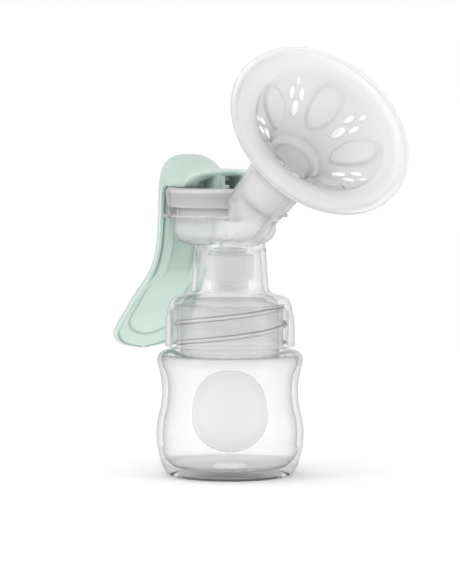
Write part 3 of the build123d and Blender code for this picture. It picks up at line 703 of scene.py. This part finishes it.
def makeHandleShell():
    # A closed tube of sections. Each section runs round its back, a rounded arch from border
    # to border, and returns across the front: border, step, then the hollow's slope and floor.
    sizes = handleSizes
    table = smoothLine(handleStations, sizes["rows"])
    edge = np.stack([table[:, 0], np.zeros(len(table)), table[:, 1]], -1)
    crest = np.stack([table[:, 3], np.zeros(len(table)), table[:, 4]], -1)
    half, squareness = table[:, 2], table[:, 6]
    hollow, border, floorDrop = table[:, 5:6], table[:, 7:8], table[:, 8:9]
    back = crest - edge
    reach = np.linalg.norm(back, axis=1)
    back = back / reach[:, None]
    across = np.array([0.0, 1.0, 0.0])

    count = sizes["across"]
    lift = np.minimum(sizes["edgeRound"], 0.4 * reach)
    angle = np.linspace(-np.pi / 2, np.pi / 2, count)
    power = 2 / squareness[:, None]
    outY = half[:, None] * np.sign(np.sin(angle)) * np.abs(np.sin(angle)) ** power
    outDepth = lift[:, None] + (reach - lift)[:, None] * np.cos(angle) ** power
    outer = edge[:, None] + back[:, None] * outDepth[..., None] + across * outY[..., None]

    share = np.linspace(-1, 1, count + 2)[1:-1]
    inY = half[:, None] * share
    fromEdge = half[:, None] * (1 - np.abs(share))
    curl = np.clip(lift[:, None] - fromEdge, 0, None)
    rounding = lift[:, None] - np.sqrt(np.clip(lift[:, None] ** 2 - curl ** 2, 0, None))
    border = np.minimum(border, 0.35 * half[:, None])
    within = fromEdge - border
    inside = np.clip(1 - within / (half[:, None] - border), 0, 1)
    step = np.minimum(sizes["step"], 0.35 * hollow)
    drop = easeStep(0, sizes["stepWidth"], within) * step
    bowl = np.where(within > 0, 1 - inside ** 2.6, 0) * (hollow - step)
    # where the floor drops beside it, a rib stands between the step and the floor
    ribbed = np.clip(floorDrop, 0, 1)
    swell = np.sin(np.pi * np.clip(within / sizes["ribWidth"], 0, 1)) * sizes["rib"]
    onFloor = easeStep(0, sizes["floorStepWidth"], within - sizes["ribWidth"])
    fall = onFloor * floorDrop
    inDepth = rounding + drop + bowl * (1 - ribbed) + ribbed * (fall - swell * easeStep(0, 1, within))
    groove, grooveMark = gripGroove(edge, inY)
    inDepth = inDepth + groove
    # painted shade: the step, the floor beside the rib, the groove and the hood's inside
    shade = drop / np.maximum(step, 0.01) * easeStep(2.0, 1.0, within)
    shade = np.maximum(shade, sizes["floorShade"] * ribbed * onFloor)
    shade = (shade + sizes["grooveShade"] * grooveMark
             + sizes["hoodShade"] * easeStep(*sizes["hoodFrom"], edge[:, :1]))
    inner = edge[:, None] + back[:, None] * inDepth[..., None] + across * inY[..., None]

    ring = np.concatenate([outer, inner[:, ::-1]], 1)
    rows, columns = ring.shape[:2]
    points = ring.reshape(-1, 3)
    faceSets = [gridFaces(rows, columns, wrap=True)[:, ::-1]]
    pole = ring[0].mean(0) + (edge[0] - edge[1]) * 0.4
    points = np.vstack([points, pole])
    faceSets.append(fanFaces(np.arange(columns), len(points) - 1))

    # the mouth's lip: half circles from the outer arch to the inner one
    first, second = outer[-1], inner[-1]
    middle = (first + second) / 2
    radius = (first - second) / 2
    ahead = edge[-1] - edge[-2]
    ahead = ahead / np.linalg.norm(ahead)
    lip = np.linspace(0, np.pi, sizes["lipRows"] + 2)[1:-1, None, None]
    width = np.linalg.norm(radius, axis=1)[:, None]
    lipPoints = middle + radius * np.cos(lip) + ahead * width * np.sin(lip) * 0.8
    start = len(points)
    points = np.vstack([points, lipPoints.reshape(-1, 3)])
    lastRow = (rows - 1) * columns
    outerRow = lastRow + np.arange(count)
    innerRow = lastRow + columns - 1 - np.arange(count)
    between = start + np.arange(sizes["lipRows"] * count).reshape(-1, count)
    lipRows = [outerRow, *between, innerRow]
    for low, high in zip(lipRows, lipRows[1:]):
        faceSets.append(np.stack([high[:-1], high[1:], low[1:], low[:-1]], -1))
    # the two ends of the lip close on the section's sides
    for end in (0, -1):
        rim = np.array([row[end] for row in lipRows])
        rim = rim if end else rim[::-1]
        faceSets.append(fanFaces(rim, rim[0])[1:-1])
    # painted shade: the pole and the mouth's lip as dark as the hood's inside, the whole outside a fixed
    # share, the hollow as worked out above
    painted = np.full(len(points), sizes["hoodShade"])
    sheet = np.concatenate([np.full_like(outY, sizes["outsideShade"]), shade[:, ::-1]], 1)
    painted[:sheet.size] = np.clip(sheet, 0, 1).ravel()
    return points, faceSets, painted


def gripGroove(edge, y):
    # A fine line pressed into the hollow: distance to a teardrop, the hull of a big circle
    # near the tip and a small one higher up, turned into a soft groove.
    sizes = handleSizes
    up = np.linalg.norm(edge - edge[0], axis=1)[:, None]
    low = sizes["panelLow"] + sizes["panelLowHalf"]
    high = sizes["panelHigh"] - sizes["panelHighHalf"]
    share = np.clip((up - low) / (high - low), 0, 1)
    radius = sizes["panelLowHalf"] + (sizes["panelHighHalf"] - sizes["panelLowHalf"]) * share
    distance = np.hypot(y, up - (low + (high - low) * share)) - radius
    line = np.exp(-(distance / sizes["grooveWidth"]) ** 2) * easeStep(*sizes["grooveFade"], up)
    # the line also marks the groove's painted shade
    return sizes["groove"] * line, line


def keepNear(source, name, boxes, material, body):
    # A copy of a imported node, cut to the faces whose middles lie in one of the boxes.
    mesh = source.data.copy()
    mesh.name = name
    copy = bpy.data.objects.new(name, mesh)
    scene.collection.objects.link(copy)
    work = bmesh.new()
    work.from_mesh(mesh)
    bmesh.ops.remove_doubles(work, verts=work.verts, dist=mergeReach)

    def inside(point):
        # between the low and high corners of a box
        return any(all(a <= b <= c for a, b, c in zip(low, point, high)) for low, high in boxes)

    unwanted = [face for face in work.faces if not inside(face.calc_center_median() / mm)]
    bmesh.ops.delete(work, geom=unwanted, context="FACES")
    work.to_mesh(mesh)
    work.free()
    mesh.set_sharp_from_angle(angle=math.radians(35))
    mesh.materials.clear()
    mesh.materials.append(material)
    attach(copy, body)
    return copy


shellPoints, shellFaces, shellShade = makeHandleShell()
handleShell = addPiece("handleShell", shellPoints, shellFaces, greenPlastic, "handle", sharpAngle=60)
paint(handleShell, "shade", shellShade)
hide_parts("handle")
# the clips and hooks wear the painted shade green
handleLinks = keepNear(nodes["handle"], "handleLinks", handleLinkBoxes, shadedGreen, "handle")
print("handle made")

# cushion

cushionSizes = dict(
    spokes=330, rows=180, backRows=90, sag=1.2, sagFrom=22.0, sagTo=2.0,
    petals=5, petalAlong=12.3, petalHalfLong=12.3, petalHalfWide=7.2, petalFlare=0.22,
    petalRise=1.5, petalEdge=1.6, petalDish=0.35,
    dropWidth=0.46, dropRise=0.75, dropSink=0.12, dropRoot=0.6, dropRings=8, dropSpokes=24,
)

# radius and depth: the front from the tunnel's end out to the rim and round the skirt, and
# the back from the skirt to the tunnel's end
cushionFront = (
    (9.1, 50.0), (9.1, 40.0), (9.15, 33.0), (9.2, 28.6), (9.5, 27.6), (11.0, 26.4), (11.9, 24.6),
    (13.2, 20.6), (15.6, 16.2), (18.8, 12.1), (22.4, 8.7), (25.6, 6.0), (27.8, 3.6), (29.1, 1.5),
    (30.2, -0.7), (32.0, -2.1), (34.4, -2.75), (37.2, -2.85), (39.4, -2.6), (40.7, -1.9),
    (41.3, -0.9), (41.4, 0.0), (41.2, 0.8), (40.7, 1.2), (40.0, 1.1), (39.6, 0.7), (39.2, 0.3),
)
cushionBack = (
    (38.7, 0.5), (38.1, 1.2), (37.5, 2.2), (35.6, 2.45), (33.2, 2.8), (31.2, 3.9), (29.4, 5.7),
    (27.0, 7.9), (23.8, 10.6), (20.0, 13.9), (16.8, 17.7), (14.6, 21.4), (13.2, 25.2),
    (11.6, 27.8), (10.8, 30.0), (10.8, 40.0), (10.8, 50.0),
)
# painted shade lines round the throat and the rim: radius, width, depth and how far up and down
cushionLines = ((12.1, 0.35, 24.0, 2.0), (9.4, 0.25, 28.0, 1.5), (41.4, 0.16, 0.0, 1.2))
# one group of drops: radius, how far to the side, half length
dropPlaces = ((18.4, 0.0, 4.0), (23.0, 2.5, 2.8), (23.6, -2.5, 2.8), (27.2, 0.2, 2.1))


def funnelPlace(radius, turn, depth):
    # From the funnel's own radius, turn and depth to the shared frame: the axis leans up
    # from +X by the tilt, turn 0 is its upper side and grows towards +Y; the rim sags a little.
    sizes = cushionSizes
    tilt = math.radians(funnelAxis["tilt"])
    axis = np.array([math.cos(tilt), 0.0, math.sin(tilt)])
    upward = np.array([-math.sin(tilt), 0.0, math.cos(tilt)])
    rim = np.array([funnelAxis["rimX"], 0.0, funnelAxis["rimZ"]])
    side = np.array([0.0, 1.0, 0.0])
    radius, turn, depth = np.broadcast_arrays(radius, turn, depth)
    sag = sizes["sag"] * easeStep(sizes["sagFrom"], sizes["sagTo"], depth)
    lift = radius * np.cos(turn) - sag
    return (rim - axis * depth[..., None] + upward * lift[..., None]
            + side * (radius * np.sin(turn))[..., None])


def petalField(radius, turn, along):
    # Raised ovals between the groups of drops: 1 inside an oval on the bell, a soft step at
    # its outline and a slight dish in its middle; the second field is a line on the outline,
    # for painted shade.
    sizes = cushionSizes
    apart = 2 * np.pi / sizes["petals"]
    off = turn % apart - apart / 2
    sideways = off * radius
    # the oval is a little wider at its outer end
    share = (along - sizes["petalAlong"]) / sizes["petalHalfLong"]
    wide = sizes["petalHalfWide"] * (1 + sizes["petalFlare"] * np.clip(share, -1, 1))
    oval = np.hypot(share, sideways / wide)
    edge = sizes["petalEdge"] / sizes["petalHalfWide"]
    line = np.exp(-((oval - 1 + edge / 2) / (0.6 * edge)) ** 2)
    return easeStep(1.0, 1.0 - edge, oval) - sizes["petalDish"] * easeStep(0.85, 0.0, oval), line


def makeCushion():
    # The front line and the back line are carried round the funnel's axis and joined at both
    # ends; the petals stand up from the front along its normal.
    sizes = cushionSizes
    front = smoothLine(cushionFront, sizes["rows"])
    step = np.gradient(front, axis=0)
    normal = np.stack([-step[:, 1], step[:, 0]], -1)
    normal = normal / np.linalg.norm(normal, axis=1)[:, None]
    spread = np.linspace(0, 2 * np.pi, sizes["spokes"], endpoint=False)
    # distance along the front, counted from a place low on the bell
    along = np.r_[0, np.cumsum(np.linalg.norm(np.diff(front, axis=0), axis=1))]
    along = along - along[np.argmin(np.abs(front[:, 1] - 19.4) + 100 * (front[:, 0] > 20))]
    petal, outline = petalField(front[:, :1], spread[None, :], along[:, None])
    petal = petal * sizes["petalRise"]
    for radiusAt, width, depthAt, reach in cushionLines:
        near = np.exp(-((front[:, :1] - radiusAt) / width) ** 2)
        outline = np.maximum(outline, near * (np.abs(front[:, 1:] - depthAt) < reach))
    radius = front[:, :1] - normal[:, :1] * petal
    depth = front[:, 1:] - normal[:, 1:] * petal
    outer = funnelPlace(radius, spread[None, :], depth)
    back = smoothLine(cushionBack, sizes["backRows"])
    inner = funnelPlace(back[:, :1], spread[None, :], back[:, 1:])
    points = np.vstack([outer.reshape(-1, 3), inner.reshape(-1, 3)])
    rows = len(front) + len(back)
    faceSets = [gridFaces(rows, sizes["spokes"], wrap=True), closingFaces(rows, sizes["spokes"])]
    return points, faceSets, outline.ravel()


def makeDrops():
    # Thin raised ovals between the petals: each is a dome, the root of 1 minus the share of
    # its reach squared, over a point that closes it below the bell's surface.
    sizes = cushionSizes
    rings, spokes, sink = sizes["dropRings"], sizes["dropSpokes"], sizes["dropSink"]
    front = smoothLine(cushionFront, 600)
    front = front[np.argmax(front[:, 1] < 26):np.argmax(front[:, 0] > 34)]
    share = np.linspace(0, 1, rings + 1)[1:, None]
    around = np.linspace(0, 2 * np.pi, spokes, endpoint=False)[None, :]
    rise = sizes["dropRise"] * np.sqrt(np.clip(1 - share ** 2, 0, 1)) - sink
    ring = np.arange(spokes)
    pole = rings * spokes

    def onBell(radius, turn, above):
        # points over the bell at a radius and a turn
        depth = np.interp(radius, front[:, 0], front[:, 1]) - above
        return funnelPlace(np.atleast_1d(radius), turn, depth).reshape(-1, 3)

    allPoints, faceSets, start = [], [], 0
    for middle in 2 * np.pi * np.arange(sizes["petals"]) / sizes["petals"]:
        for radius, sideways, halfLong in dropPlaces:
            slope = np.interp(radius, front[:, 0], np.gradient(front[:, 1], front[:, 0]))
            outward = radius + share * halfLong / math.hypot(1, slope) * np.cos(around)
            aside = sideways + share * halfLong * sizes["dropWidth"] * np.sin(around)
            centre = middle + sideways / radius
            allPoints += [onBell(outward, middle + aside / outward, rise),
                          onBell(radius, centre, sizes["dropRise"] - sink),
                          onBell(radius, centre, -sizes["dropRoot"])]
            faceSets += [gridFaces(rings, spokes, wrap=True) + start,
                         fanFaces((start + ring)[::-1], start + pole),
                         fanFaces(start + pole - spokes + ring, start + pole + 1)]
            start += pole + 2
    return np.vstack(allPoints), faceSets


bellPoints, bellFaces, bellOutline = makeCushion()
cushionBell = addPiece("cushionBell", bellPoints, bellFaces, cushionSilicone, "cushion")
# painted shade lines along the petals' outlines and round the throat and the rim
paint(cushionBell, "outline", bellOutline)
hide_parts("massage_cushion")
cushionDropMarks = addPiece("cushionDrops", *makeDrops(), dropSilicone, "cushion")
print("cushion made")

# stage

# places and sizes in metres, lamps in watts, the camera's focal length and sensor in millimetres
cameraSettings = dict(
    distance=1.3, height=0.1655, azimuth=60.0, aimHeight=0.0835,
    focal=183.3, sensor=36.0,
)

lightSettings = dict(worldFill=1.0, aim=(0.0, 0.0, 0.09))
lamps = dict(
    left=dict(power=3.0, size=(0.5, 0.9), place=(0.02, -1.05, 0.45)),
    right=dict(power=2.4, size=(0.35, 0.9), place=(0.85, 0.55, 0.40)),
    top=dict(power=1.4, size=(0.6, 0.6), place=(-0.25, -0.25, 1.05)),
)

floorSettings = dict(
    radius=0.9, fadeFrom=0.28, fadeTo=0.8, rings=24, spokes=96, spread=1.6, tone=0.88, lift=0.03,
)


def aimAt(place, target):
    # The turn that points -Z from a place at a target.
    return (Vector(target) - Vector(place)).to_track_quat("-Z", "Y").to_euler()


def addCamera():
    # On a circle round the object, turned from -Y towards +X by the azimuth.
    azimuth = math.radians(cameraSettings["azimuth"])
    distance = cameraSettings["distance"]
    place = (distance * math.sin(azimuth), -distance * math.cos(azimuth), cameraSettings["height"])
    data = bpy.data.cameras.new("camera")
    data.lens = cameraSettings["focal"]
    data.sensor_width = cameraSettings["sensor"]
    data.clip_start = 0.01
    camera = bpy.data.objects.new("camera", data)
    camera.location = place
    camera.rotation_euler = aimAt(place, (0, 0, cameraSettings["aimHeight"]))
    scene.collection.objects.link(camera)
    scene.camera = camera


def addAreaLight(name, power, size, place):
    # A soft rectangle of light aimed at the object's middle.
    data = bpy.data.lights.new(name, "AREA")
    data.shape = "RECTANGLE"
    data.energy = power
    data.size, data.size_y = size
    light = bpy.data.objects.new(name, data)
    light.location = place
    light.rotation_euler = aimAt(place, lightSettings["aim"])
    scene.collection.objects.link(light)


def seenRays(tree):
    # 1 for rays that show the background: straight, mirrored or through something clear.
    path = addNode(tree, "ShaderNodeLightPath").outputs
    seen = maths(tree, "MAXIMUM", path["Is Camera Ray"], path["Is Glossy Ray"])
    return maths(tree, "MAXIMUM", seen, path["Is Transmission Ray"])


def whiteWorld():
    # Even white from all round at strength 1, which is also the background.
    world = bpy.data.worlds.new("studio")
    world.use_nodes = True
    background = world.node_tree.nodes["Background"]
    background.inputs["Color"].default_value = (1, 1, 1, 1)
    background.inputs["Strength"].default_value = lightSettings["worldFill"]
    scene.world = world


def paleFloor():
    # A matt pale floor, lifted a little for rays that show the background, that fades to
    # nothing by its distance from the middle.
    material, tree, shader = startMaterial("paleFloor")
    lift = maths(tree, "MULTIPLY", seenRays(tree), floorSettings["lift"])
    feed(tree, shader, {"Base Color": (*grey(floorSettings["tone"]), 1), "Roughness": 1.0,
                        "Specular IOR Level": 0.0, "Emission Color": (1, 1, 1, 1),
                        "Emission Strength": lift})
    length = addNode(tree, "ShaderNodeVectorMath", operation="LENGTH")
    feed(tree, length, {0: objectPlace(tree)})
    fade = addNode(tree, "ShaderNodeMapRange", interpolation_type="SMOOTHSTEP")
    feed(tree, fade, {"Value": length.outputs["Value"], "From Min": floorSettings["fadeFrom"],
                      "From Max": floorSettings["fadeTo"]})
    hole = addNode(tree, "ShaderNodeBsdfTransparent")
    blend = feed(tree, addNode(tree, "ShaderNodeMixShader"),
                 {0: fade.outputs["Result"], 1: shader.outputs[0], 2: hole.outputs[0]})
    feed(tree, tree.nodes["Material Output"], {"Surface": blend.outputs[0]})
    return material


def addFloor():
    # A flat disc: rings that lie closer together near its middle.
    sizes = floorSettings
    reach = np.linspace(0, 1, sizes["rings"]) ** sizes["spread"] * sizes["radius"] / mm
    profile = np.stack([reach, np.zeros(len(reach))], -1)
    points, faceSets = lathe(profile[::-1], sizes["spokes"])
    floor = addPiece("floor", points, faceSets, paleFloor())


addCamera()
whiteWorld()
addFloor()
for lampName, lamp in lamps.items():
    addAreaLight(lampName, **lamp)
print("stage made")
